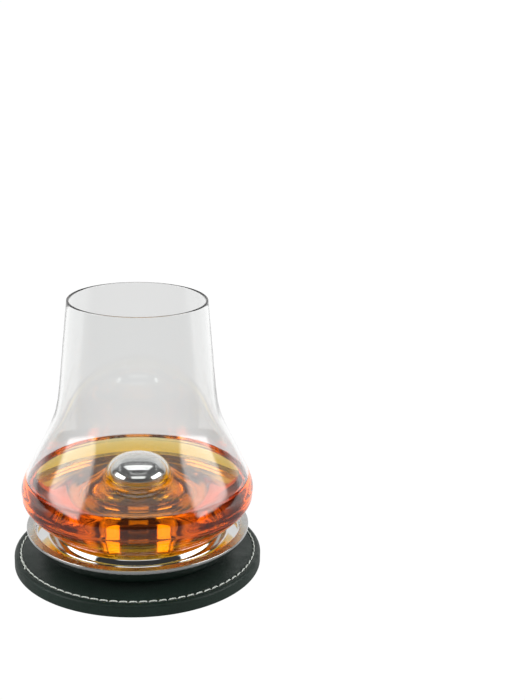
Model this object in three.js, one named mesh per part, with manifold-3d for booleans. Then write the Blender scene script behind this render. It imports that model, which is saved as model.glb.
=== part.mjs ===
// A stemless whiskey tumbler of thin blown glass, with the steel base that chills it and the
// stitched leather coaster that the base stands on.
//
// The base is a hollow steel dish full of freezer gel. A knob in the middle of the dish stands up
// inside the hollow kick in the floor of the glass, so the cold reaches the drink through the kick.
// The glass lifts straight off the base, and the base straight off the coaster.
//
// Millimetres, +Z up. The origin is the centre of the coaster's underside.

import * as THREE from 'three';
import Module from 'manifold-3d';
import { mergeVertices } from 'three/addons/utils/BufferGeometryUtils.js';

const wasm = await Module();
wasm.setup();

// ---- Driving dimensions ------------------------------------------------------------------------

const SIDES = 48;               // flats round every turned piece
const SLIP = 0.05;              // air between pieces that rest on each other

const COASTER_RADIUS = 53.1;
const COASTER_HEIGHT = 5.86;
const LEATHER = 1.4;            // upper leather
const BACKING = 1.3;            // backing leather
const BOARD = 1.9;              // stiff board between the leathers
const SKIRT = 1.2;              // thickness of the edge that the upper leather is turned down to
const STITCHES = 80;
const STITCH_RADIUS = 50.3;     // circle that the seam is sewn on
const THREAD = 0.6;             // thread diameter

const BASE_RADIUS = 47.6;       // outside of the base's rim
const RIM_TOP = 17.7;           // flat land that runs round the base
const LAND_WIDTH = 3.3;
const RIDGE_RADIUS = 36;        // ridge that the glass sits inside
const GUTTER_FLOOR = 13.9;      // bottom of the gutter beside the land
const STEEL = 0.8;
const FOOT_RADIUS = 30.5;       // outside of the silicone foot
const PAN_FLOOR = 7.0;          // underside of the pan
const KNOB_RADIUS = 12.1;
const KNOB_TOP = 46.1;
const FILL_HOLE_RADIUS = 4.0;

const RIM_HEIGHT = 116.9;       // top of the glass above the table
const RIM_RADIUS = 29.05;
const RIM_WALL = 1.1;
const SIDE_WALL = 1.4;
const FLOOR_WALL = 2.6;
const BELLY_RADIUS = 49.0;
const BELLY_HEIGHT = 31.5;
const STAND_RADIUS = 27.0;      // ring that the glass stands on
const STAND_HEIGHT = 14.3;
const KICK_RADIUS = 14.0;       // outside of the hollow kick, on the drink's side
const KICK_TOP = 48.2;
const KICK_WALL = 1.3;

// ---- Materials ---------------------------------------------------------------------------------

const finish = (color, roughness, metalness = 0) =>
  new THREE.MeshStandardMaterial({ color, roughness, metalness });

const clearGlass = finish(0xeef1f0, 0.02);
clearGlass.transparent = true;
clearGlass.opacity = 0.35;
const polishedSteel = finish(0xc9cccd, 0.08, 1);
const brushedSteel = finish(0xb3b6b8, 0.3, 1);
const coldGel = finish(0x3f86b8, 0.35);
const greySilicone = finish(0x4b4e50, 0.7);
const blackRubber = finish(0x1c1d1e, 0.8);
const upperLeather = finish(0x20332b, 0.5);
const backingLeather = finish(0x3a3733, 0.85);
const paleFoam = finish(0xd8d2c0, 0.9);
const greyBoard = finish(0x8d8677, 0.9);
const paleThread = finish(0xcfd6cb, 0.7);

// ---- Outline helpers, in (radius, height) ------------------------------------------------------

const at = (radius, height) => new THREE.Vector2(radius, height);

const curve = (start, pullStart, pullEnd, end, steps) =>
  new THREE.CubicBezierCurve(start, pullStart, pullEnd, end).getPoints(steps);

// Joins runs of points end to end, and drops a point that repeats the one before it.
function outline(...runs) {
  const points = [];
  for (const point of runs.flat()) {
    const last = points.at(-1);
    if (!last || last.distanceTo(point) > 1e-4) points.push(point);
  }
  return points;
}

// Moves every point of a run sideways by a wall thickness, which may change along the run. The
// move is to the left of the run's direction, so a run that goes up the outside moves inwards.
function inset(run, wall) {
  return run.map((point, i) => {
    const before = run[Math.max(i - 1, 0)];
    const after = run[Math.min(i + 1, run.length - 1)];
    const along = after.clone().sub(before).normalize();
    const thickness = typeof wall === 'function' ? wall(point) : wall;
    return at(Math.max(point.x - along.y * thickness, 0), point.y + along.x * thickness);
  });
}

// Turns an outline round the Z axis. The outline runs out along the underside, up the outside and
// back in along the top, and it starts and ends on the axis or at the same point.
function turned(name, points, material, sides = SIDES) {
  const geometry = new THREE.LatheGeometry(points, sides);
  geometry.rotateX(Math.PI / 2);
  const mesh = new THREE.Mesh(geometry, material);
  mesh.name = name;
  return mesh;
}

const closed = (points) => [...points, points[0].clone()];

// A flat disc or ring with square edges.
function plate(name, inner, outer, bottom, top, material, sides = SIDES) {
  const points = [at(inner, bottom), at(outer, bottom), at(outer, top), at(inner, top)];
  return turned(name, inner > 0 ? closed(points) : points, material, sides);
}

// ---- Glass -------------------------------------------------------------------------------------

// Outside of the glass from the ring it stands on up to the rim: a full belly, a waist that turns
// the other way, and a straight neck that leans in to the rim.
function glassOutside() {
  const stand = at(STAND_RADIUS, STAND_HEIGHT);
  const belly = at(BELLY_RADIUS, BELLY_HEIGHT);
  const shoulder = at(41.85, 52.4);
  const neck = at(31.75, 88.4);
  const rim = at(RIM_RADIUS, RIM_HEIGHT - RIM_WALL / 2);
  return outline(
    curve(stand, at(33, STAND_HEIGHT), at(BELLY_RADIUS, 26.5), belly, 7),
    curve(belly, at(BELLY_RADIUS, 35.9), at(51.27, 33.8), shoulder, 5),
    curve(shoulder, at(34.37, 67.2), at(33.82, 66.7), neck, 5),
    [neck, rim],
  );
}

// Outside of the kick, from the floor of the drink up to its round top.
function kickOutside() {
  const steps = 4;
  const foot = at(24.6, STAND_HEIGHT + FLOOR_WALL + 0.4);
  const waist = at(KICK_RADIUS + 0.5, 29);
  const shoulder = at(KICK_RADIUS, 40);
  return outline(
    curve(foot, at(18.2, foot.y), at(KICK_RADIUS + 0.9, 22), waist, steps),
    [waist, shoulder],
    curve(shoulder, at(KICK_RADIUS - 0.3, 45.4), at(8.2, KICK_TOP), at(0, KICK_TOP), steps),
  );
}

function tumblerGlass() {
  const outside = glassOutside();
  const rim = outside.at(-1);
  const wall = ({ y: height }) => {
    if (height < BELLY_HEIGHT) {
      const low = (BELLY_HEIGHT - height) / (BELLY_HEIGHT - STAND_HEIGHT);
      return THREE.MathUtils.lerp(SIDE_WALL, FLOOR_WALL, low * low);
    }
    const high = (height - BELLY_HEIGHT) / (rim.y - BELLY_HEIGHT);
    return THREE.MathUtils.lerp(SIDE_WALL, RIM_WALL, high);
  };
  const inside = inset(outside, wall).reverse();
  const roundedRim = at(RIM_RADIUS - RIM_WALL / 2, RIM_HEIGHT);
  const kick = kickOutside();
  const hollow = inset(kick, KICK_WALL).reverse();
  const top = at(0, KICK_TOP - KICK_WALL);
  const heel = at(STAND_RADIUS - 3, STAND_HEIGHT + 0.7);
  return turned(
    'tumbler_glass',
    outline([top], hollow.slice(1), [heel], outside, [roundedRim], inside, kick),
    clearGlass,
  );
}

// ---- Chilling base -----------------------------------------------------------------------------

// Upper face of the dish, from the top of the knob out to the edge of the rim's flat land. The
// well under the glass is the glass's own curve, a little lower. Outside the glass the face turns
// over a rounded ridge and drops steeply to a gutter that runs to the land.
function dishFace() {
  const wellFloor = STAND_HEIGHT - SLIP;
  const knobShoulder = at(KNOB_RADIUS, 39.6);
  const knobWaist = at(KNOB_RADIUS + 0.4, 28.6);
  const knobFoot = at(22, wellFloor);
  const ridge = at(RIDGE_RADIUS, RIM_TOP - 0.5);
  const landEdge = BASE_RADIUS - LAND_WIDTH;
  return outline(
    curve(at(0, KNOB_TOP), at(7, KNOB_TOP), at(KNOB_RADIUS - 0.2, 44.4), knobShoulder, 4),
    curve(knobWaist, at(KNOB_RADIUS + 0.8, 21), at(16.2, wellFloor), knobFoot, 4),
    curve(at(STAND_RADIUS + 1, wellFloor), at(32, wellFloor), at(33.6, 16.9), ridge, 3),
    [at(36.7, 16.7), at(37.5, 14.9), at(38.3, GUTTER_FLOOR)],
    [at(landEdge - 1.3, GUTTER_FLOOR), at(landEdge - 0.6, 14.4)],
    [at(landEdge - 0.5, RIM_TOP - 0.4), at(landEdge, RIM_TOP)],
  );
}

function baseTopShell() {
  const face = dishFace();
  const underface = inset(face, -STEEL);
  underface[0] = at(0, KNOB_TOP - STEEL);
  underface[underface.length - 1] = at(BASE_RADIUS - LAND_WIDTH + STEEL, RIM_TOP - STEEL);
  const edge = [
    at(BASE_RADIUS - STEEL, RIM_TOP - STEEL),
    at(BASE_RADIUS - STEEL, RIM_TOP - 1.2),
    at(BASE_RADIUS - 0.1, RIM_TOP - 1.2),
    at(BASE_RADIUS, RIM_TOP - 0.25),
    at(BASE_RADIUS - 0.25, RIM_TOP),
  ];
  return turned('base_top_shell', outline(underface, edge, face.reverse()), polishedSteel);
}

// A bowl whose upright edge is tucked up inside the rim of the dish.
function baseBottomPan() {
  const lip = RIM_TOP - STEEL - SLIP;
  const edgeRadius = BASE_RADIUS - STEEL - SLIP;
  const bowl = curve(
    at(FOOT_RADIUS + 0.5, PAN_FLOOR), at(39, PAN_FLOOR), at(43.6, 9.8), at(edgeRadius, 16), 5);
  const bowlInside = inset(bowl, STEEL);
  bowlInside[0] = at(bowl[0].x, PAN_FLOOR + STEEL);
  bowlInside[bowlInside.length - 1] = at(edgeRadius - STEEL, lip - STEEL);
  return turned(
    'base_bottom_pan',
    closed(outline(
      [at(FILL_HOLE_RADIUS, PAN_FLOOR)],
      bowl,
      [at(edgeRadius, lip), at(edgeRadius - STEEL, lip)],
      bowlInside.reverse(),
      [at(FILL_HOLE_RADIUS, PAN_FLOOR + STEEL)],
    )),
    brushedSteel,
  );
}

// The gel fills the base and the knob, and leaves a pocket round the plug.
function freezerGelCore(plugTop) {
  const gap = 0.3;
  const floor = PAN_FLOOR + STEEL + gap;
  const pocket = FILL_HOLE_RADIUS + 1;
  const wellAndKnob = dishFace().slice(0, -4);
  const ceiling = inset(wellAndKnob, -STEEL - gap);
  ceiling[0] = at(0, KNOB_TOP - STEEL - gap);
  return turned(
    'freezer_gel_core',
    outline(
      [at(0, plugTop + gap), at(pocket, plugTop + gap), at(pocket, floor)],
      curve(at(FOOT_RADIUS, floor), at(35.5, floor), at(39.5, 9.8), at(41.2, 12.4), 3),
      ceiling.reverse(),
    ),
    coldGel,
  );
}

function solid(geometry) {
  const bare = geometry.clone();
  bare.deleteAttribute('normal');
  bare.deleteAttribute('uv');
  const merged = mergeVertices(bare, 1e-4);
  return new wasm.Manifold(new wasm.Mesh({
    numProp: 3,
    vertProperties: new Float32Array(merged.attributes.position.array),
    triVerts: new Uint32Array(merged.index.array),
  }));
}

function fromSolid(name, result, material) {
  const { vertProperties, triVerts } = result.getMesh();
  const geometry = new THREE.BufferGeometry();
  geometry.setAttribute('position', new THREE.BufferAttribute(vertProperties, 3));
  geometry.setIndex(new THREE.BufferAttribute(triVerts, 1));
  const mesh = new THREE.Mesh(geometry, material);
  mesh.name = name;
  return mesh;
}

// Plug with a flat head under the pan, a shank up through the hole and a socket for a hex key.
function fillerPlug(headRadius, headBottom, headTop, plugTop) {
  const sides = 24;
  const shank = FILL_HOLE_RADIUS - 0.2;
  const body = new THREE.LatheGeometry([
    at(0, headBottom), at(headRadius, headBottom), at(headRadius, headTop),
    at(shank, headTop), at(shank, plugTop - 0.5), at(shank - 0.5, plugTop), at(0, plugTop),
  ], sides);
  body.rotateX(Math.PI / 2);
  const depth = 1.6;
  const socket = new THREE.CylinderGeometry(1.7, 1.7, 2 * depth, 6);
  socket.rotateX(Math.PI / 2);
  socket.translate(0, 0, headBottom);
  return fromSolid('filler_plug', solid(body).subtract(solid(socket)), greySilicone);
}

function chillingBase() {
  const headRadius = 6;
  const headBottom = COASTER_HEIGHT + 0.12;
  const headTop = headBottom + 0.5;
  const plugTop = 9.6;
  const base = new THREE.Group();
  base.add(
    baseTopShell(),
    baseBottomPan(),
    freezerGelCore(plugTop),
    fillerPlug(headRadius, headBottom, headTop, plugTop),
    plate('plug_seal_ring', FILL_HOLE_RADIUS + 0.3, headRadius - 0.4, headTop + 0.02,
      PAN_FLOOR - 0.02, blackRubber, 24),
    turned('base_foot_ring', closed([
      at(FOOT_RADIUS - 4, COASTER_HEIGHT + SLIP), at(FOOT_RADIUS - 0.4, COASTER_HEIGHT + SLIP),
      at(FOOT_RADIUS, COASTER_HEIGHT + 0.4), at(FOOT_RADIUS, PAN_FLOOR - SLIP),
      at(FOOT_RADIUS - 4, PAN_FLOOR - SLIP),
    ]), greySilicone),
  );
  return base;
}

// ---- Coaster -----------------------------------------------------------------------------------

// Upper leather: a disc with a groove for the stitches, and an edge turned down all round.
function coasterTopLeather() {
  const underside = COASTER_HEIGHT - LEATHER;
  const inner = COASTER_RADIUS - SKIRT;
  const groove = COASTER_HEIGHT - 0.7;
  return turned('coaster_top_leather', outline(
    [at(0, underside), at(inner, underside), at(inner, 0.2)],
    [at(COASTER_RADIUS - 0.3, 0.2), at(COASTER_RADIUS, 0.6)],
    [at(COASTER_RADIUS, COASTER_HEIGHT - 1.3), at(COASTER_RADIUS - 0.35, COASTER_HEIGHT - 0.4)],
    [at(COASTER_RADIUS - 1.2, COASTER_HEIGHT), at(STITCH_RADIUS + 0.6, COASTER_HEIGHT)],
    [at(STITCH_RADIUS + 0.45, groove), at(STITCH_RADIUS - 0.45, groove)],
    [at(STITCH_RADIUS - 0.6, COASTER_HEIGHT), at(0, COASTER_HEIGHT)],
  ), upperLeather);
}

// Backing leather, set inside the turned edge, with a groove for the lower thread.
function coasterBottomLeather() {
  const groove = 0.8;
  const edge = COASTER_RADIUS - SKIRT - 0.2;
  return turned('coaster_bottom_leather', [
    at(0, 0), at(STITCH_RADIUS - 0.6, 0), at(STITCH_RADIUS - 0.45, groove),
    at(STITCH_RADIUS + 0.45, groove), at(STITCH_RADIUS + 0.6, 0), at(edge, 0),
    at(edge, BACKING), at(0, BACKING),
  ], backingLeather);
}

// One thread of the seam: a closed ring that rises and dips once for each stitch.
function seamThread(name, height) {
  const rise = 0.08;
  const ring = new THREE.TorusGeometry(STITCH_RADIUS, THREAD / 2, 4, 2 * STITCHES);
  const points = ring.attributes.position;
  for (let i = 0; i < points.count; i += 1) {
    const turn = Math.atan2(points.getY(i), points.getX(i));
    points.setZ(i, points.getZ(i) + height + rise * Math.cos(turn * STITCHES));
  }
  const mesh = new THREE.Mesh(ring, paleThread);
  mesh.name = name;
  return mesh;
}

function leatherCoaster() {
  const filling = COASTER_RADIUS - SKIRT - 0.4;
  const boardTop = BACKING + SLIP + BOARD;
  const coaster = new THREE.Group();
  coaster.add(
    coasterTopLeather(),
    plate('coaster_padding', 0, filling, boardTop + SLIP, COASTER_HEIGHT - LEATHER - SLIP,
      paleFoam),
    plate('coaster_core_board', 0, filling, BACKING + SLIP, boardTop, greyBoard),
    coasterBottomLeather(),
    seamThread('coaster_needle_thread', COASTER_HEIGHT - 0.2),
    seamThread('coaster_bobbin_thread', THREAD / 2 + 0.1),
  );
  return coaster;
}

const group = new THREE.Group();
group.add(tumblerGlass(), chillingBase(), leatherCoaster());

export default group;
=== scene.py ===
# The looks of a stemless whiskey tumbler on its chilling base and leather coaster.
#
# Everything is round about the Z axis. Outlines are lists of (radius, height) in millimetres and
# run out along the underside, up the outside and back in along the top, so that a turned mesh has
# its faces pointing out. Meshes are in metres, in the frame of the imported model.

import math
import random

import bpy
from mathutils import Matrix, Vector, noise


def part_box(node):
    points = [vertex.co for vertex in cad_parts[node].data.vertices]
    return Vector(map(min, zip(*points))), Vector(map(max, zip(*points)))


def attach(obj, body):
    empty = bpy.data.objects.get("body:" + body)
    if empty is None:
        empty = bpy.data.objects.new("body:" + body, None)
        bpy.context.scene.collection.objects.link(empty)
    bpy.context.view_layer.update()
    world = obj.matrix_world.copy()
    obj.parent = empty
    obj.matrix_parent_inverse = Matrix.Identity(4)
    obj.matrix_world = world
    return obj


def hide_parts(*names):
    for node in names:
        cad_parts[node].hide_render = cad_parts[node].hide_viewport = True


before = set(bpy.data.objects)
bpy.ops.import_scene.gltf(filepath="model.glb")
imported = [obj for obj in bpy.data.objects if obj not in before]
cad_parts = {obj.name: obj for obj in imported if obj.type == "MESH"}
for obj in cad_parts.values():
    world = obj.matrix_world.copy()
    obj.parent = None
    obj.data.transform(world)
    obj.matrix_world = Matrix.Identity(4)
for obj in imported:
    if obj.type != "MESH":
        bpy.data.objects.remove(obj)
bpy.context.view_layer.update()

MM = 0.001


# ---- Sizes, in millimetres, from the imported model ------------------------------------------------

def node_box(node):
    """Lowest and highest corner of a node, in millimetres."""
    low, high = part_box(node)
    return low / MM, high / MM


glass_low, glass_high = node_box("tumbler_glass")
shell_high = node_box("base_top_shell")[1]
pan_low = node_box("base_bottom_pan")[0]
foot_low, foot_high = node_box("base_foot_ring")
cover_high = node_box("coaster_top_leather")[1]
backing_high = node_box("coaster_bottom_leather")[1]

RIM_HEIGHT = glass_high.z
STAND_HEIGHT = glass_low.z
STAND_RADIUS = 27.0
RIM_RADIUS = 29.05
RIM_WALL = 1.1
SIDE_WALL = 1.4
FLOOR_WALL = 2.6
BELLY_RADIUS = 49.0
BELLY_HEIGHT = 31.5
KICK_RADIUS = 14.0
KICK_TOP = 48.2
KICK_WALL = 1.3

DRINK_LEVEL = 39.0
MENISCUS_RISE = 1.3
MENISCUS_REACH = 1.4
OVERLAP = 0.08                   # how far the drink runs into the wall of the glass

BASE_RADIUS = shell_high.x
KNOB_TOP = shell_high.z
KNOB_RADIUS = 12.1
LAND_WIDTH = 3.3
RIM_TOP = 17.7
RIDGE_RADIUS = 36                # ridge that the glass sits inside
GUTTER_FLOOR = 13.9              # bottom of the gutter beside the land
STEEL = 0.8
SLIP = 0.05                      # gap between pieces that fit inside each other
PAN_FLOOR = pan_low.z
FOOT_RADIUS = foot_high.x

COASTER_RADIUS = cover_high.x
COASTER_TOP = cover_high.z
SKIRT = 1.2
STITCHES = 80
SEAM_RADIUS = 50.3
STITCH_PITCH = 2 * math.pi * SEAM_RADIUS / STITCHES


# ---- Outlines ------------------------------------------------------------------------------------

def curve(start, pull_start, pull_end, end, steps):
    """Points of a cubic Bezier curve."""
    points = []
    for i in range(steps + 1):
        t = i / steps
        weights = ((1 - t) ** 3, 3 * (1 - t) ** 2 * t, 3 * (1 - t) * t * t, t ** 3)
        corners = (start, pull_start, pull_end, end)
        points.append(tuple(sum(w * c[k] for w, c in zip(weights, corners)) for k in (0, 1)))
    return points


def straight(start, end, steps):
    return [tuple(a + (b - a) * i / steps for a, b in zip(start, end)) for i in range(steps + 1)]


def arc(centre, radius, start, end, steps):
    """Points of an arc about centre, between two angles in degrees."""
    angles = [math.radians(start + (end - start) * i / steps) for i in range(steps + 1)]
    return [(centre[0] + radius * math.cos(a), centre[1] + radius * math.sin(a)) for a in angles]


def inset(run, wall):
    """Moves a run to its left by a wall thickness, which may depend on the point."""
    moved = []
    for i, point in enumerate(run):
        before, after = run[max(i - 1, 0)], run[min(i + 1, len(run) - 1)]
        dr, dz = after[0] - before[0], after[1] - before[1]
        length = math.hypot(dr, dz)
        thickness = wall(point) if callable(wall) else wall
        moved.append((max(point[0] - dz / length * thickness, 0.0),
                      point[1] + dr / length * thickness))
    return moved


def joined(*runs):
    """Runs of points end to end, without the points that repeat the one before."""
    points = []
    for point in (p for run in runs for p in run):
        if not points or math.dist(points[-1], point) > 1e-4:
            points.append(point)
    return points


# ---- Meshes --------------------------------------------------------------------------------------

def add_piece(name, vertices, faces, materials, body, replaced=(), sharp=40):
    """A mesh piece that rides on a body and takes the materials it is given."""
    mesh = bpy.data.meshes.new(name)
    mesh.from_pydata(vertices, [], faces)
    for material in materials:
        mesh.materials.append(material)
    mesh.shade_smooth()
    mesh.set_sharp_from_angle(angle=math.radians(sharp))
    piece = bpy.data.objects.new(name, mesh)
    bpy.context.scene.collection.objects.link(piece)
    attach(piece, body)
    if replaced:
        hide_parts(*replaced)
    return piece


def turned_mesh(outline, sides, wobble=None):
    """Vertices and faces of an outline turned about Z. It starts and ends on the axis, or at the
    same point. wobble(angle, radius, height) gives a small move of (radius, height)."""
    closed = math.dist(outline[0], outline[-1]) < 1e-6 and outline[0][0] > 1e-6
    points = outline[:-1] if closed else outline
    vertices, rings = [], []
    for radius, height in points:
        if radius < 1e-6:
            rings.append([len(vertices)] * (sides + 1))
            vertices.append((0, 0, height * MM))
            continue
        first = len(vertices)
        for k in range(sides):
            angle = 2 * math.pi * k / sides
            dr, dz = wobble(angle, radius, height) if wobble else (0, 0)
            r, z = (radius + dr) * MM, (height + dz) * MM
            vertices.append((r * math.cos(angle), r * math.sin(angle), z))
        rings.append([first + k % sides for k in range(sides + 1)])
    if closed:
        rings.append(rings[0])
    faces = []
    for lower, upper in zip(rings, rings[1:]):
        for k in range(sides):
            corners = (lower[k], lower[k + 1], upper[k + 1], upper[k])
            faces.append(tuple(dict.fromkeys(corners)))
    return vertices, faces


def turned(name, outline, material, body, replaced=(), sides=192, wobble=None, sharp=40):
    vertices, faces = turned_mesh(outline, sides, wobble)
    return add_piece(name, vertices, faces, [material], body, replaced, sharp=sharp)


# ---- Material helpers ----------------------------------------------------------------------------

class Shader:
    """A Principled material and short ways to add nodes to it."""

    def __init__(self, name, **settings):
        self.material = bpy.data.materials.new(name)
        self.material.use_nodes = True
        self.nodes = self.material.node_tree.nodes
        self.links = self.material.node_tree.links
        self.surface = self.nodes["Principled BSDF"]
        self.output = self.nodes["Material Output"]
        for socket, value in settings.items():
            self.surface.inputs[socket.replace("_", " ")].default_value = value
        self.place = self.nodes.new("ShaderNodeTexCoord").outputs["Object"]

    def node(self, kind, properties=None, **inputs):
        """Adds a node. Inputs are numbers, colours or the sockets that feed them."""
        made = self.nodes.new("ShaderNode" + kind)
        for key, value in (properties or {}).items():
            setattr(made, key, value)
        for key, value in inputs.items():
            socket = made.inputs[int(key[1:]) if key[1:].isdigit() else key.replace("_", " ")]
            if isinstance(value, bpy.types.NodeSocket):
                self.links.new(value, socket)
            else:
                socket.default_value = value
        return made

    def stretched(self, x, y, z):
        return self.node("Mapping", Vector=self.place, Scale=(x, y, z)).outputs["Vector"]

    def noise(self, scale, detail=4.0, roughness=0.55, vector=None):
        vector = vector or self.place
        made = self.node("TexNoise", Vector=vector, Scale=scale, Detail=detail,
                         Roughness=roughness)
        return made.outputs["Fac"]

    def cells(self, scale, feature="DISTANCE_TO_EDGE", vector=None):
        vector = vector or self.place
        made = self.node("TexVoronoi", {"feature": feature}, Vector=vector, Scale=scale)
        return made.outputs["Distance"]

    def span(self, value, low, high, out_low=0.0, out_high=1.0):
        made = self.node("MapRange", Value=value, From_Min=low, From_Max=high,
                         To_Min=out_low, To_Max=out_high)
        return made.outputs["Result"]

    def math(self, operation, first, second=0.0):
        made = self.node("Math", {"operation": operation}, i0=first, i1=second)
        return made.outputs["Value"]

    def blend(self, share, first, second):
        """Mix of two colours, by a number from 0 to 1."""
        made = self.nodes.new("ShaderNodeMix")
        made.data_type = "RGBA"
        for index, value in ((0, share), (6, first), (7, second)):
            if isinstance(value, bpy.types.NodeSocket):
                self.links.new(value, made.inputs[index])
            else:
                made.inputs[index].default_value = value
        return made.outputs[2]

    def radius(self):
        """Distance from the Z axis, in metres."""
        flat = self.node("VectorMath", {"operation": "MULTIPLY"}, i0=self.place, i1=(1, 1, 0))
        far = self.node("VectorMath", {"operation": "LENGTH"}, i0=flat.outputs["Vector"])
        return far.outputs["Value"]

    def feed(self, socket, value):
        self.links.new(value, self.surface.inputs[socket])

    def bump(self, height, distance, strength=1.0, below=None):
        """Bump of a height from 0 to 1 times distance in metres, on top of another bump."""
        made = self.node("Bump", Height=height, Distance=distance, Strength=strength)
        if below is not None:
            self.links.new(below, made.inputs["Normal"])
        self.feed("Normal", made.outputs["Normal"])
        return made.outputs["Normal"]


# ---- Materials -----------------------------------------------------------------------------------

def clear_glass():
    """Blown glass: clear, with the faint long ripples that drawing it up leaves in its surface."""
    s = Shader("clear_glass", Base_Color=(0.985, 0.99, 0.987, 1), Roughness=0.0, IOR=1.5,
               Transmission_Weight=1.0)
    ripple = s.noise(38.0, 2.0, 0.4, s.stretched(1.0, 1.0, 0.28))
    s.bump(ripple, 0.00018)
    return s.material


def whisky():
    """Amber spirit, coloured by what it takes out of the light along its path."""
    s = Shader("whisky", Base_Color=(1, 1, 1, 1), Roughness=0.0, IOR=1.36,
               Transmission_Weight=1.0)
    depth = s.node("VolumeAbsorption", Color=(0.989, 0.815, 0.0, 1), Density=135.0)
    s.links.new(depth.outputs["Volume"], s.output.inputs["Volume"])
    return s.material


def polished_steel():
    """Mirror-polished stainless steel with faint smudges and hairline turning marks."""
    s = Shader("polished_steel", Metallic=1.0, Roughness=0.04)
    smudge = s.noise(55.0, 5.0, 0.6)
    s.feed("Roughness", s.span(smudge, 0.35, 0.75, 0.025, 0.085))
    s.feed("Base Color", s.blend(s.span(smudge, 0.3, 0.8), (0.80, 0.80, 0.79, 1),
                                 (0.72, 0.725, 0.725, 1)))
    marks = s.node("TexWave", {"wave_type": "RINGS", "rings_direction": "Z"}, Vector=s.place,
                   Scale=420.0, Distortion=0.6, Detail=2.0)
    s.bump(marks.outputs["Fac"], 0.0000006)
    return s.material


def satin_steel(tint=0.6):
    """Brushed stainless steel: fine rings about the axis that spread the highlights."""
    s = Shader("satin_steel", Metallic=1.0, Roughness=0.3)
    wander = s.math("MULTIPLY", s.noise(90.0, 2.0), 0.0006)
    rings = s.math("SINE", s.math("MULTIPLY", s.math("ADD", s.radius(), wander), 26000.0))
    grain = s.noise(600.0, 3.0)
    s.feed("Roughness", s.span(grain, 0.3, 0.7, 0.24, 0.38))
    s.feed("Base Color", s.blend(grain, (tint, tint, tint * 0.98, 1),
                                 (tint * 1.12, tint * 1.12, tint * 1.1, 1)))
    s.bump(s.span(rings, -1.0, 1.0), 0.000003, below=s.bump(grain, 0.000004))
    return s.material


def green_leather():
    """Smooth-grained dark green leather: pebbles, creases between them, and a waxy sheen."""
    s = Shader("green_leather", Roughness=0.45, Specular_IOR_Level=0.4, Coat_Weight=0.06,
               Coat_Roughness=0.35, Sheen_Weight=0.05, Sheen_Roughness=0.5)
    warp = s.node("VectorMath", {"operation": "MULTIPLY_ADD"},
                  i0=s.node("TexNoise", Vector=s.place, Scale=420.0).outputs["Color"],
                  i1=(0.0009, 0.0009, 0.0009), i2=s.place).outputs["Vector"]
    pebbles = s.span(s.cells(1150.0, vector=warp), 0.0, 0.35)
    fine = s.noise(4200.0, 3.0)
    mottle = s.noise(70.0, 5.0, 0.6)
    rub = s.noise(240.0, 3.0)
    deep, pale = (0.0024, 0.016, 0.0085, 1), (0.006, 0.025, 0.016, 1)
    base = s.blend(s.span(mottle, 0.3, 0.75), deep, pale)
    s.feed("Base Color", s.blend(s.span(pebbles, 0.0, 0.5, 0.55, 0.0), base,
                                 (0.001, 0.005, 0.003, 1)))
    s.feed("Roughness", s.span(rub, 0.3, 0.75, 0.38, 0.56))
    s.bump(pebbles, 0.00005, below=s.bump(fine, 0.000012, below=s.bump(mottle, 0.00018)))
    return s.material


def suede():
    """Napped flesh side of leather, used for the backing."""
    s = Shader("suede", Roughness=0.95, Specular_IOR_Level=0.2, Sheen_Weight=0.5,
               Sheen_Roughness=0.6)
    nap = s.noise(2600.0, 6.0, 0.75)
    brushed = s.noise(60.0, 4.0)
    s.feed("Base Color", s.blend(s.math("MULTIPLY", nap, brushed), (0.02, 0.018, 0.014, 1),
                                 (0.11, 0.1, 0.085, 1)))
    s.bump(nap, 0.00012)
    return s.material


def waxed_thread():
    """Pale linen thread: fibres along each ply, darker where wax has gathered."""
    s = Shader("waxed_thread", Roughness=0.55, Sheen_Weight=0.3)
    fibres = s.noise(5200.0, 4.0, 0.7)
    wax = s.noise(900.0, 2.0)
    s.feed("Base Color", s.blend(s.span(wax, 0.3, 0.7), (0.66, 0.71, 0.64, 1),
                                 (0.86, 0.9, 0.85, 1)))
    s.feed("Roughness", s.span(wax, 0.3, 0.7, 0.42, 0.7))
    s.bump(fibres, 0.00004)
    return s.material


def moulded(name, colour, roughness, scale):
    """Moulded rubber or silicone with a fine matt texture and a little dust."""
    s = Shader(name, Roughness=roughness)
    grain = s.noise(scale, 4.0, 0.65)
    dust = s.noise(45.0, 5.0)
    pale = tuple(min(c * 1.6 + 0.01, 1.0) for c in colour)
    s.feed("Base Color", s.blend(s.span(dust, 0.4, 0.8), (*colour, 1), (*pale, 1)))
    s.feed("Roughness", s.span(grain, 0.3, 0.7, roughness - 0.08, roughness + 0.08))
    s.bump(grain, 0.00003)
    return s.material


def freezer_gel():
    """Blue gel with small bubbles set in it."""
    s = Shader("freezer_gel", Roughness=0.25, Subsurface_Weight=0.4)
    bubbles = s.span(s.cells(700.0, "F1"), 0.0, 0.45)
    haze = s.noise(120.0, 4.0)
    s.feed("Base Color", s.blend(s.math("MULTIPLY", bubbles, haze), (0.22, 0.5, 0.72, 1),
                                 (0.05, 0.24, 0.5, 1)))
    s.bump(bubbles, 0.0002)
    return s.material


def foam():
    """Open-celled foam."""
    s = Shader("foam", Roughness=0.95)
    cells = s.span(s.cells(1800.0), 0.0, 0.3)
    s.feed("Base Color", s.blend(cells, (0.42, 0.38, 0.3, 1), (0.78, 0.74, 0.64, 1)))
    s.bump(cells, 0.0003)
    return s.material


def grey_board():
    """Pressed board with short fibres lying in it."""
    s = Shader("grey_board", Roughness=0.9)
    fibres = s.noise(900.0, 6.0, 0.7, s.stretched(1.0, 0.22, 1.0))
    s.feed("Base Color", s.blend(fibres, (0.16, 0.14, 0.11, 1), (0.42, 0.39, 0.33, 1)))
    s.bump(fibres, 0.0001)
    return s.material


# ---- Glass and drink -----------------------------------------------------------------------------

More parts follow.
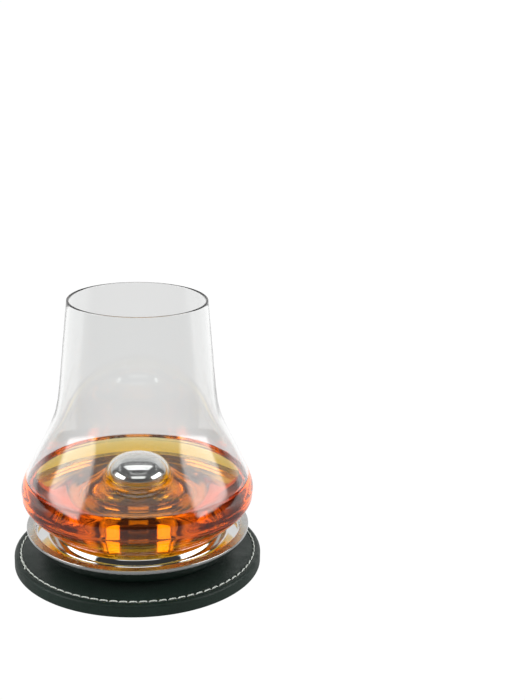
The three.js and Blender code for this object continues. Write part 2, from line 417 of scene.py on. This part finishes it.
def glass_outside():
    """Outside of the glass from the ring it stands on up to the middle of the rim."""
    belly = (BELLY_RADIUS, BELLY_HEIGHT)
    shoulder, neck = (41.85, 52.4), (31.75, 88.4)
    rim = (RIM_RADIUS, RIM_HEIGHT - RIM_WALL / 2)
    return joined(
        curve((STAND_RADIUS, STAND_HEIGHT), (33, STAND_HEIGHT), (BELLY_RADIUS, 26.5), belly, 32),
        curve(belly, (BELLY_RADIUS, 35.9), (51.27, 33.8), shoulder, 24),
        curve(shoulder, (34.37, 67.2), (33.82, 66.7), neck, 24),
        straight(neck, rim, 16),
    )


def glass_wall(point):
    """Thickness of the side of the glass at a point of its outside."""
    height = point[1]
    if height < BELLY_HEIGHT:
        low = (BELLY_HEIGHT - height) / (BELLY_HEIGHT - STAND_HEIGHT)
        return SIDE_WALL + (FLOOR_WALL - SIDE_WALL) * low * low
    high = (height - BELLY_HEIGHT) / (RIM_HEIGHT - BELLY_HEIGHT)
    return SIDE_WALL + (RIM_WALL - SIDE_WALL) * high


def kick_outside():
    """Outside of the hollow kick, from the floor of the drink up to its round top."""
    foot = (24.6, STAND_HEIGHT + FLOOR_WALL + 0.4)
    waist, shoulder = (KICK_RADIUS + 0.5, 29), (KICK_RADIUS, 40)
    return joined(
        curve(foot, (18.2, foot[1]), (KICK_RADIUS + 0.9, 22), waist, 20),
        straight(waist, shoulder, 10),
        curve(shoulder, (KICK_RADIUS - 0.3, 45.4), (8.2, KICK_TOP), (0, KICK_TOP), 24),
    )


def glass_inside():
    """Inside of the glass, from the rim down to the floor beside the kick."""
    outside = glass_outside()
    wall = inset(outside, glass_wall)
    return wall[::-1]


def tumbler(material):
    outside, inside, kick = glass_outside(), glass_inside(), kick_outside()
    hollow = inset(kick, KICK_WALL)[::-1]
    hollow[0] = (0, KICK_TOP - KICK_WALL)
    heel = curve(hollow[-1], (22.5, hollow[-1][1]), (23.5, STAND_HEIGHT),
                 (STAND_RADIUS, STAND_HEIGHT), 10)
    lip_centre = ((outside[-1][0] + inside[0][0]) / 2, outside[-1][1])
    lip = arc(lip_centre, (outside[-1][0] - inside[0][0]) / 2, 0, 180, 12)
    floor = curve(inside[-1], (inside[-1][0] - 1, inside[-1][1]),
                  (kick[0][0] + 1, kick[0][1]), kick[0], 4)
    outline = joined(hollow, heel, outside, lip, inside, floor, kick)
    return turned("tumbler_blown_glass", outline, material, "glass",
                  ["tumbler_glass"], sides=256, sharp=80)


def drink(material):
    """The whisky. It runs a little way into the wall of the glass, so no air shows between them,
    and its surface climbs the glass at its edge and at the kick."""
    contact = DRINK_LEVEL + MENISCUS_RISE
    side = [p for p in inset(glass_inside(), OVERLAP) if p[1] < contact]
    kick = [p for p in inset(kick_outside(), OVERLAP) if p[1] < contact]
    floor = [(side[-1][0] - 0.5, side[-1][1]), (kick[0][0] + 0.5, kick[0][1])]
    wall_radius, kick_radius = side[0][0], kick[-1][0]
    surface = []
    for i in range(41):
        share = i / 40
        radius = wall_radius + (kick_radius - wall_radius) * share
        edge = min(wall_radius - radius, radius - kick_radius)
        surface.append((radius, DRINK_LEVEL + MENISCUS_RISE * math.exp(-edge / MENISCUS_REACH)))
    for near, far in ((wall_radius, -1), (kick_radius, 1)):
        surface += [(near + far * d, DRINK_LEVEL + MENISCUS_RISE * math.exp(-d / MENISCUS_REACH))
                    for d in (0.15, 0.35, 0.6, 0.9, 1.6)]
    surface.sort(key=lambda p: -p[0])
    outline = joined(kick[::-1], floor[::-1], side[::-1], surface, [kick[-1]])
    return turned("whisky", outline, material, "glass", sides=256, sharp=80)


# ---- Chilling base -------------------------------------------------------------------------------

def dish_face():
    """Upper face of the steel, from the top of the knob, through the well that the glass stands
    in, over a ridge and down a steep collar to a gutter, out to the edge of the flat land."""
    well = STAND_HEIGHT - SLIP
    waist, foot = (KNOB_RADIUS + 0.4, 28.6), (22, well)
    ridge = (RIDGE_RADIUS, RIM_TOP - 0.5)
    land = BASE_RADIUS - LAND_WIDTH
    collar_top, collar_foot = (36.7, 16.7), (37.5, 14.9)
    gutter, wall = (land - 1.3, GUTTER_FLOOR), (land - 0.5, GUTTER_FLOOR + 1)
    return joined(
        curve((0, KNOB_TOP), (7, KNOB_TOP), (KNOB_RADIUS - 0.2, 44.4), (KNOB_RADIUS, 39.6), 24),
        curve(waist, (KNOB_RADIUS + 0.8, 21), (16.2, well), foot, 24),
        curve((STAND_RADIUS + 1, well), (32, well), (33.6, 16.9), ridge, 20),
        curve(ridge, (36.35, 17.25), (36.5, 17.1), collar_top, 8),
        curve(collar_foot, (37.8, 14.2), (38.1, 13.95), (38.9, GUTTER_FLOOR), 10),
        curve(gutter, (land - 0.8, 13.8), (land - 0.5, 14.2), wall, 8),
        curve(wall, (land - 0.5, RIM_TOP - 0.6), (land - 0.4, RIM_TOP), (land, RIM_TOP), 8),
    )


def chilling_base(polished, satin, silicone):
    face = dish_face()
    under = inset(face, -STEEL)
    under[0] = (0, KNOB_TOP - STEEL)
    under[-1] = (BASE_RADIUS - LAND_WIDTH + STEEL, RIM_TOP - STEEL)
    edge = joined(
        [(BASE_RADIUS - STEEL, RIM_TOP - STEEL), (BASE_RADIUS - STEEL, RIM_TOP - 1.2)],
        arc((BASE_RADIUS - 0.3, RIM_TOP - 0.9), 0.3, -90, 0, 6),
        arc((BASE_RADIUS - 0.3, RIM_TOP - 0.3), 0.3, 0, 90, 8),
    )
    outline = joined(under, edge, straight((BASE_RADIUS - 0.4, RIM_TOP), face[-1], 3), face[::-1])
    shell = turned("base_polished_dish", outline, polished, "chilling_base",
                   ["base_top_shell"], sides=256)
    shell.data.materials.append(satin)
    land = (BASE_RADIUS - LAND_WIDTH) * MM
    for polygon in shell.data.polygons:
        middle = polygon.center
        if middle.xy.length > land and middle.z > (RIM_TOP - 0.6) * MM and polygon.normal.z > 0.5:
            polygon.material_index = 1

    edge_radius = BASE_RADIUS - STEEL - SLIP
    lip = RIM_TOP - STEEL - SLIP
    bowl = curve((FOOT_RADIUS + 0.5, PAN_FLOOR), (39, PAN_FLOOR), (43.6, 9.8), (edge_radius, 16), 24)
    hole = node_box("plug_seal_ring")[1].x - 1.6
    inside = inset(bowl, STEEL)
    outline = joined([(hole, PAN_FLOOR)], bowl, [(edge_radius, lip), (edge_radius - STEEL, lip)],
                     inside[::-1], [(hole, PAN_FLOOR + STEEL), (hole, PAN_FLOOR)])
    turned("base_bowl_pan", outline, polished, "chilling_base",
           ["base_bottom_pan"], sides=192)

    inner, soft = FOOT_RADIUS - 4, 0.35
    outline = joined(
        arc((inner + soft, foot_low.z + soft), soft, 180, 270, 5),
        arc((FOOT_RADIUS - soft, foot_low.z + soft), soft, 270, 360, 5),
        [(FOOT_RADIUS, foot_high.z), (inner, foot_high.z), (inner, foot_low.z + soft)],
    )
    turned("base_silicone_foot", outline, silicone, "chilling_base",
           ["base_foot_ring"], sides=128)


# ---- Coaster -------------------------------------------------------------------------------------

def pull_of_seam(angle, radius):
    """How far the stitches pull the leather down at a place on the coaster's top, from 0 to 1."""
    across = math.exp(-((radius - SEAM_RADIUS) / 0.75) ** 2)
    phase = (angle * STITCHES / (2 * math.pi)) % 1.0
    along = min(phase, 1 - phase) * STITCH_PITCH
    hole = math.exp(-(along / 0.45) ** 2) * math.exp(-((radius - SEAM_RADIUS) / 0.42) ** 2)
    return 0.34 * across + 0.3 * hole


def leather_wobble(angle, radius, height):
    """The top is pulled down along the seam and lifts a little either side of it."""
    spot = Vector((math.cos(angle) * radius, math.sin(angle) * radius, height))
    uneven = 0.05 * noise.noise(spot * 0.09) + 0.025 * noise.noise(spot * 0.45)
    if height < COASTER_TOP - 0.6:
        return (uneven if height > 0.8 and radius > COASTER_RADIUS - 0.9 else 0.0), 0.0
    rest = 32.0                  # the base stands inside this radius
    crown = 0.0
    if rest < radius < SEAM_RADIUS:
        crown = 0.22 * math.sin(math.pi * (radius - rest) / (SEAM_RADIUS - rest)) ** 2
    settle = uneven if radius > rest else 0.0
    return 0.0, crown + settle - pull_of_seam(angle, radius)


def coaster_cover(material):
    """Upper leather with its turned-down edge, in fine rings where it is stitched."""
    inner = COASTER_RADIUS - SKIRT
    under = COASTER_TOP - 1.4
    rounding = 1.55
    outline = joined(
        [(0, under), (inner, under), (inner, 0.25)],
        arc((COASTER_RADIUS - 0.45, 0.62), 0.45, 270, 360, 5),
        straight((COASTER_RADIUS, 0.8), (COASTER_RADIUS, COASTER_TOP - rounding), 8),
        arc((COASTER_RADIUS - rounding, COASTER_TOP - rounding), rounding, 0, 90, 9),
        straight((COASTER_RADIUS - rounding, COASTER_TOP), (SEAM_RADIUS - 1.6, COASTER_TOP), 18),
        straight((SEAM_RADIUS - 1.6, COASTER_TOP), (30.0, COASTER_TOP), 16),
        straight((30.0, COASTER_TOP), (0, COASTER_TOP), 4),
    )
    cover = turned("coaster_green_cover", outline, material, "coaster",
                   ["coaster_top_leather"], sides=STITCHES * 8, wobble=leather_wobble, sharp=50)
    return cover


def coaster_backing(material):
    """Backing leather set inside the turned edge, pulled in along the lower thread."""
    edge = backing_high.x

    def pull(angle, radius, height):
        if height > 0.7:
            return 0.0, 0.0
        return 0.0, 0.75 * math.exp(-((radius - SEAM_RADIUS) / 0.55) ** 2)

    outline = joined(
        straight((0, 0), (SEAM_RADIUS - 1.3, 0), 6),
        straight((SEAM_RADIUS - 1.3, 0), (edge - 0.25, 0), 14),
        [(edge, 0.25), (edge, backing_high.z), (0, backing_high.z)],
    )
    return turned("coaster_suede_backing", outline, material, "coaster",
                  ["coaster_bottom_leather"], sides=240, wobble=pull)


def ply(vertices, faces, path, width, sides=7):
    """Adds a closed tube along a path of (point, thickness share)."""
    first = len(vertices)
    for i, (point, share) in enumerate(path):
        before, after = path[max(i - 1, 0)][0], path[min(i + 1, len(path) - 1)][0]
        along = (after - before).normalized()
        side = along.cross(Vector((0, 0, 1)))
        side = side.normalized() if side.length > 1e-6 else Vector((1, 0, 0))
        up = side.cross(along)
        for k in range(sides):
            turn = 2 * math.pi * k / sides
            offset = (side * math.cos(turn) + up * math.sin(turn)) * width * share
            vertices.append(tuple((point + offset) * MM))
    for i in range(len(path) - 1):
        low, high = first + i * sides, first + (i + 1) * sides
        for k in range(sides):
            near, far = k, (k + 1) % sides
            faces.append((low + near, low + far, high + far, high + near))
    faces.append(tuple(first + k for k in reversed(range(sides))))
    faces.append(tuple(first + (len(path) - 1) * sides + k for k in range(sides)))


def stitch(vertices, faces, start, end, level, height, shift=(0.0, 0.0), lay=1.0):
    """One stitch of two twisted plies between two angles of the seam. lay is 1 on the top of the
    coaster and -1 underneath, and shift moves its ends in or out to make it slant."""
    steps, strand, twist = 14, 0.2, 0.155
    length = (end - start) * SEAM_RADIUS
    for half in (0, 1):
        path = []
        for i in range(steps + 1):
            share = i / steps
            angle = start + (end - start) * share
            radius = SEAM_RADIUS + shift[0] + (shift[1] - shift[0]) * share
            dip = height * (1 - (2 * share - 1) ** 4)
            turn = math.pi * half + share * length * 2 * math.pi / 2.1
            radius += twist * math.cos(turn)
            z = level + lay * (dip - height + twist * 0.8 * math.sin(turn))
            tight = 0.72 + 0.28 * math.sin(math.pi * share) ** 0.5
            path.append((Vector((radius * math.cos(angle), radius * math.sin(angle), z)), tight))
        ply(vertices, faces, path, strand)


def seam(name, material, level, height, lay, node, tail=False):
    """The visible thread of one side of the seam, stitch by stitch."""
    rng = random.Random(7)
    vertices, faces = [], []
    step = 2 * math.pi / STITCHES
    gap = 0.34 / SEAM_RADIUS
    for i in range(STITCHES):
        start = i * step + gap * rng.uniform(0.85, 1.15)
        end = (i + 1) * step - gap * rng.uniform(0.85, 1.15)
        slant = 0.13 * lay + rng.uniform(-0.03, 0.03)
        stitch(vertices, faces, start, end, level + rng.uniform(-0.02, 0.02), height,
               (slant, -slant), lay)
    if tail:
        knot = math.radians(206)
        first = round(knot / step)
        for k in range(3):
            start = (first - 2 - k + 0.2) * step
            stitch(vertices, faces, start, start + 0.8 * step, level + 0.22, height,
                   (0.34, 0.28), lay)
        end = (first - 0.9) * step
        stitch(vertices, faces, end - 0.35 * step, end + 0.2 * step, level + 0.3, 0.2,
               (0.3, 1.1), lay)
    return add_piece(name, vertices, faces, [material], "coaster", [node], sharp=70)


# ---- Stage, light and camera ---------------------------------------------------------------------

WHITE = 1.02                     # what the camera sees of the surroundings
SEEN_THROUGH = 0.8               # what it sees of them through clear glass
BACKDROP = 0.85                  # what the object reflects of the backdrop behind it
ROOM = 0.04                      # and of the room elsewhere
FLOOR_FRONT = 0.3                # and of the floor in front of it
FLOOR_BACK = 1.0                 # and of the floor behind it
REACH = 1.2                      # distance of the softboxes
SOFTBOXES = {                    # azimuth and elevation in degrees, size in metres, strength
    "left_softbox": (-79, 21, (1.08, 0.56), 3.8),
    "right_softbox": (79, 21, (1.08, 0.56), 3.8),
    "top_softbox": (180, 64, (1.1, 0.66), 1.7),
    "front_softbox": (0, 42, (1.2, 0.5), 1.2),
}
CAMERA_PLACE = (0.0031, -0.4871, 0.2437)
CAMERA_TURN = (73.075, -1.484, -5.277)
CAMERA_LENS = 62.81


def mixed(nodes, share, first, second):
    """Mix of two numbers. Each of the three is a number or a socket."""
    made = nodes.new("ShaderNodeMix")
    for index, value in ((0, share), (2, first), (3, second)):
        if isinstance(value, bpy.types.NodeSocket):
            made.id_data.links.new(value, made.inputs[index])
        else:
            made.inputs[index].default_value = value
    return made.outputs[0]


def ramp(nodes, value, low, high, out_low, out_high):
    """Smooth step of a socket from out_low to out_high."""
    made = nodes.new("ShaderNodeMapRange")
    made.interpolation_type = "SMOOTHSTEP"
    made.id_data.links.new(value, made.inputs[0])
    for index, number in enumerate((low, high, out_low, out_high), 1):
        made.inputs[index].default_value = number
    return made.outputs["Result"]


def position(nodes, space):
    """X, Y and Z of a texture coordinate, as three sockets."""
    parts = nodes.new("ShaderNodeSeparateXYZ")
    place = nodes.new("ShaderNodeTexCoord").outputs[space]
    parts.id_data.links.new(place, parts.inputs[0])
    return parts.outputs


def backdrop_strength(nodes, reflected):
    """White when looked at, a little darker through clear glass, and reflected elsewhere."""
    path = nodes.new("ShaderNodeLightPath")
    mirrored = ramp(nodes, path.outputs["Glossy Depth"], 0.0, 1.0, 0.0, 1.0)
    indirect = mixed(nodes, mirrored, SEEN_THROUGH, reflected)
    return mixed(nodes, path.outputs["Is Camera Ray"], indirect, WHITE)


def light_card(name, centre, size, strength):
    """A flat rectangle that faces the object and gives off light. strength is a function from a
    node tree's nodes to a socket."""
    width, height = size[0] / 2, size[1] / 2
    mesh = bpy.data.meshes.new(name)
    mesh.from_pydata([(-width, -height, 0), (width, -height, 0), (width, height, 0),
                      (-width, height, 0)], [], [(0, 1, 2, 3)])
    material = bpy.data.materials.new(name)
    material.use_nodes = True
    surface = material.node_tree.nodes["Principled BSDF"]
    surface.inputs["Base Color"].default_value = (0, 0, 0, 1)
    surface.inputs["Specular IOR Level"].default_value = 0
    surface.inputs["Emission Color"].default_value = (1, 1, 1, 1)
    material.node_tree.links.new(strength(material.node_tree.nodes),
                                 surface.inputs["Emission Strength"])
    mesh.materials.append(material)
    card = bpy.data.objects.new(name, mesh)
    bpy.context.scene.collection.objects.link(card)
    card.location = centre
    card.rotation_mode = "QUATERNION"
    card.rotation_quaternion = (Vector((0, 0, 0.03)) - Vector(centre)).to_track_quat("Z", "Y")
    return card


def softbox_strength(size, strength):
    """Bright in the middle and fading towards the edges."""
    def build(nodes):
        place = position(nodes, "Object")
        level = strength
        for axis, length in zip("XY", size):
            distance = nodes.new("ShaderNodeMath")
            distance.operation = "ABSOLUTE"
            distance.id_data.links.new(place[axis], distance.inputs[0])
            fade = ramp(nodes, distance.outputs[0], length * 0.36, length * 0.5, 0.0, 1.0)
            level = mixed(nodes, fade, level, 0.0)
        return level
    return build


def floor_strength(nodes):
    """Dim in front of the object and bright behind it, where it is reflected."""
    across = position(nodes, "Object")["Y"]
    return backdrop_strength(nodes, ramp(nodes, across, -0.03, 0.09, FLOOR_FRONT, FLOOR_BACK))


def world_strength(nodes):
    """A bright backdrop behind the object up to a third of the way to overhead, and a dim room."""
    towards = position(nodes, "Generated")
    low = ramp(nodes, towards["Z"], 0.5, 0.6, BACKDROP, ROOM)
    behind = ramp(nodes, towards["Y"], 0.45, 0.7, 0.0, 1.0)
    return backdrop_strength(nodes, mixed(nodes, behind, ROOM, low))


def studio():
    floor = light_card("floor", (0, 0, -0.0002), (14, 14), floor_strength)
    floor.rotation_quaternion = (1, 0, 0, 0)
    for name, (azimuth, elevation, size, strength) in SOFTBOXES.items():
        a, e = math.radians(azimuth), math.radians(elevation)
        away = Vector((math.sin(a) * math.cos(e), -math.cos(a) * math.cos(e), math.sin(e)))
        card = light_card(name, away * REACH, size, softbox_strength(size, strength))
        card.visible_camera = False
    world = bpy.data.worlds.new("studio")
    bpy.context.scene.world = world
    world.use_nodes = True
    background = world.node_tree.nodes["Background"]
    background.inputs["Color"].default_value = (1, 1, 1, 1)
    world.node_tree.links.new(world_strength(world.node_tree.nodes),
                              background.inputs["Strength"])


def camera():
    data = bpy.data.cameras.new("camera")
    data.lens = CAMERA_LENS
    data.clip_start = 0.01
    data.clip_end = 50
    made = bpy.data.objects.new("camera", data)
    bpy.context.scene.collection.objects.link(made)
    made.location = CAMERA_PLACE
    made.rotation_euler = [math.radians(a) for a in CAMERA_TURN]
    bpy.context.scene.camera = made


# ---- The object ----------------------------------------------------------------------------------

def dress_hidden_nodes():
    """Finishes for the nodes whose own shape is kept."""
    finishes = {
        "freezer_gel_core": (freezer_gel(), "freezer_gel"),
        "filler_plug": (moulded("plug_silicone", (0.09, 0.095, 0.1), 0.6, 1600.0),
                        "grey_silicone"),
        "plug_seal_ring": (moulded("seal_rubber", (0.012, 0.012, 0.012), 0.7, 1900.0),
                           "black_rubber"),
        "coaster_padding": (foam(), "foam"),
        "coaster_core_board": (grey_board(), "board"),
    }
    for node, (material, slot) in finishes.items():
        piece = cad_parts[node]
        piece.data.materials.clear()
        piece.data.materials.append(material)


scene = bpy.context.scene
camera()
studio()
scene.view_settings.view_transform = "Standard"
scene.cycles.max_bounces = 32
scene.cycles.transmission_bounces = 32
scene.cycles.glossy_bounces = 16
scene.cycles.diffuse_bounces = 4
scene.cycles.use_denoising = True

tumbler(clear_glass())
drink(whisky())
chilling_base(polished_steel(), satin_steel(),
              moulded("foot_silicone", (0.06, 0.063, 0.066), 0.62, 1500.0))
coaster_cover(green_leather())
coaster_backing(suede())
thread = waxed_thread()
seam("coaster_top_stitches", thread, COASTER_TOP - 0.02, 0.42, 1.0, "coaster_needle_thread",
     tail=True)
seam("coaster_lower_stitches", thread, 0.32, 0.3, -1.0, "coaster_bobbin_thread")
dress_hidden_nodes()
